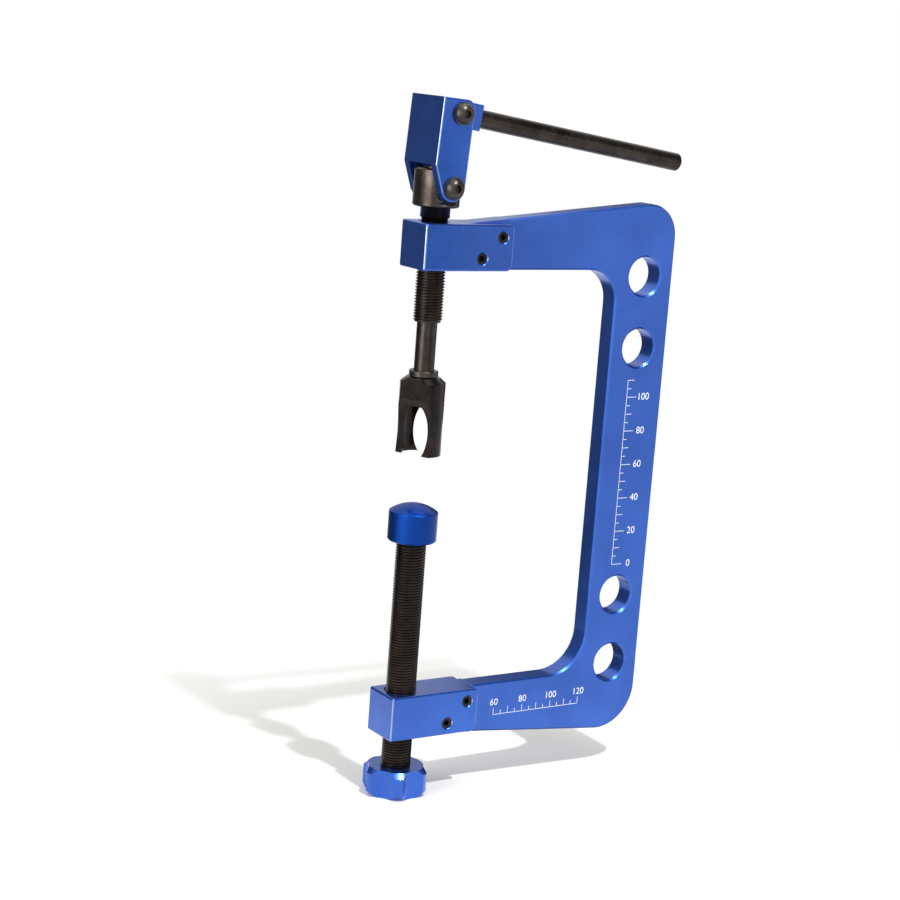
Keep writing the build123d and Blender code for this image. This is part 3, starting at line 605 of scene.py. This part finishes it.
def soft_lamp(name, place, width, height, power):
    """A rectangular area lamp that points at the object's middle."""
    data = bpy.data.lights.new(name, "AREA")
    data.shape = "RECTANGLE"
    data.size = width
    data.size_y = height
    data.energy = power
    lamp = bpy.data.objects.new(name, data)
    scene.collection.objects.link(lamp)
    lamp.location = place
    lamp.rotation_euler = (Vector(place) - Vector(MIDDLE)).to_track_quat("Z", "Y").to_euler()


def panel(name, place, target, width, height, brightness):
    """A grey studio panel that only reflections show, facing a target with an even brightness."""
    mesh = bpy.data.meshes.new(name)
    shell = bmesh.new()
    corners = ((-0.5, -0.5), (0.5, -0.5), (0.5, 0.5), (-0.5, 0.5))
    shell.faces.new([shell.verts.new((x * width, y * height, 0)) for x, y in corners])
    shell.to_mesh(mesh)
    shell.free()
    made = bpy.data.objects.new(name, mesh)
    scene.collection.objects.link(made)
    made.location = place
    made.rotation_euler = (Vector(place) - Vector(target)).to_track_quat("Z", "Y").to_euler()
    made.visible_camera = False
    made.visible_diffuse = False
    made.visible_transmission = False
    made.visible_shadow = False
    cloth = bpy.data.materials.new(name)
    cloth.use_nodes = True
    nodes, links = cloth.node_tree.nodes, cloth.node_tree.links
    nodes.remove(nodes["Principled BSDF"])
    glow = nodes.new("ShaderNodeEmission")
    glow.inputs["Strength"].default_value = brightness
    links.new(glow.outputs[0], nodes["Material Output"].inputs["Surface"])
    mesh.materials.append(cloth)


# Name, place, width, height and power in watts of each lamp
LAMPS = (
    ("key", (0.11, -1.03, 2.20), 0.08, 0.08, 33.0),
    ("overhead", (0.10, 0.05, 1.60), 1.1, 1.1, 6.0),
    ("front", (0.30, -1.60, 0.80), 0.7, 0.7, 5.0),
    ("left_box", (-1.345, -0.36, 0.40), 0.77, 1.20, 13.0),
)
# Name, place, width, height and brightness of each panel; those just over the floor face up
PANELS = (
    ("left_flag", (-0.46, 0.70, 0.24), 1.15, 0.95, 0.14),
    ("left_floor_flag", (-0.33, 0.50, OVER_FLOOR), 0.84, 0.60, 0.08),
    ("high_flag", (1.05, -1.05, 1.20), 1.5, 1.1, 0.08),
    ("right_flag", (1.20, -0.22, 1.20), 1.1, 1.1, 0.08),
    ("back_flag", (0.95, 0.60, 0.10), 0.9, 1.2, 0.05),
    ("far_flag", (0.62, 1.05, 0.52), 0.9, 0.7, 0.60),
    ("front_flag", (0.93, -1.85, 0.40), 0.62, 0.22, 0.72),
    ("front_low_flag", (0.726, -1.945, 0.147), 0.95, 0.29, 0.06),
    ("front_floor_flag", (0.72, -1.55, OVER_FLOOR), 0.70, 0.75, 0.08),
    ("low_flag", (0.20, 0.06, OVER_FLOOR), 0.34, 0.12, 0.08),
)
for lamp_name, place, width, height, power in LAMPS:
    soft_lamp(lamp_name, place, width, height, power)
for panel_name, place, width, height, brightness in PANELS:
    target = (*place[:2], 1.0) if place[2] == OVER_FLOOR else MIDDLE
    panel(panel_name, place, target, width, height, brightness)


def make_room():
    """A white world that lights surfaces less than the camera and reflections see of it."""
    world = bpy.data.worlds.new("studio")
    world.use_nodes = True
    scene.world = world
    nodes, links = world.node_tree.nodes, world.node_tree.links
    sky = nodes["Background"]
    sky.inputs["Color"].default_value = (1, 1, 1, 1)
    path = nodes.new("ShaderNodeLightPath")
    seen = nodes.new("ShaderNodeMath")
    seen.operation = "MAXIMUM"
    links.new(path.outputs["Is Camera Ray"], seen.inputs[0])
    links.new(path.outputs["Is Transmission Ray"], seen.inputs[1])
    reflected = nodes.new("ShaderNodeMath")
    reflected.operation = "MAXIMUM"
    links.new(seen.outputs[0], reflected.inputs[0])
    links.new(path.outputs["Is Glossy Ray"], reflected.inputs[1])
    level = nodes.new("ShaderNodeMapRange")
    level.inputs["To Min"].default_value = ROOM_LIGHT
    level.inputs["To Max"].default_value = ROOM_SEEN
    links.new(reflected.outputs[0], level.inputs["Value"])
    links.new(level.outputs["Result"], sky.inputs["Strength"])


def make_floor():
    """A white floor that keeps the object's shadow and fades to plain white further out."""
    mesh = bpy.data.meshes.new("floor")
    shell = bmesh.new()
    bmesh.ops.create_circle(shell, cap_ends=True, radius=FLOOR_RADIUS, segments=FLOOR_SEGMENTS)
    shell.to_mesh(mesh)
    shell.free()
    floor = bpy.data.objects.new("floor", mesh)
    scene.collection.objects.link(floor)
    material = bpy.data.materials.new("paper")
    material.use_nodes = True
    nodes, links = material.node_tree.nodes, material.node_tree.links
    nodes.remove(nodes["Principled BSDF"])
    place = nodes.new("ShaderNodeTexCoord")
    distance = nodes.new("ShaderNodeVectorMath")
    distance.operation = "DISTANCE"
    links.new(place.outputs["Object"], distance.inputs[0])
    distance.inputs[1].default_value = FADE_MIDDLE
    fade = nodes.new("ShaderNodeMapRange")
    fade.interpolation_type = "SMOOTHSTEP"
    fade.inputs["From Min"].default_value = FADE_START
    fade.inputs["From Max"].default_value = FADE_END
    links.new(distance.outputs["Value"], fade.inputs["Value"])
    paper = nodes.new("ShaderNodeBsdfDiffuse")
    paper.inputs["Color"].default_value = PAPER
    lift = nodes.new("ShaderNodeEmission")
    lift.inputs["Strength"].default_value = PAPER_LIFT
    lit = nodes.new("ShaderNodeAddShader")
    links.new(paper.outputs[0], lit.inputs[0])
    links.new(lift.outputs[0], lit.inputs[1])
    far = nodes.new("ShaderNodeEmission")
    far.inputs["Strength"].default_value = 1.0
    blend = nodes.new("ShaderNodeMixShader")
    links.new(fade.outputs["Result"], blend.inputs[0])
    links.new(lit.outputs[0], blend.inputs[1])
    links.new(far.outputs[0], blend.inputs[2])
    links.new(blend.outputs[0], nodes["Material Output"].inputs["Surface"])
    mesh.materials.append(material)


make_room()
make_floor()

scene.view_settings.view_transform = "Standard"
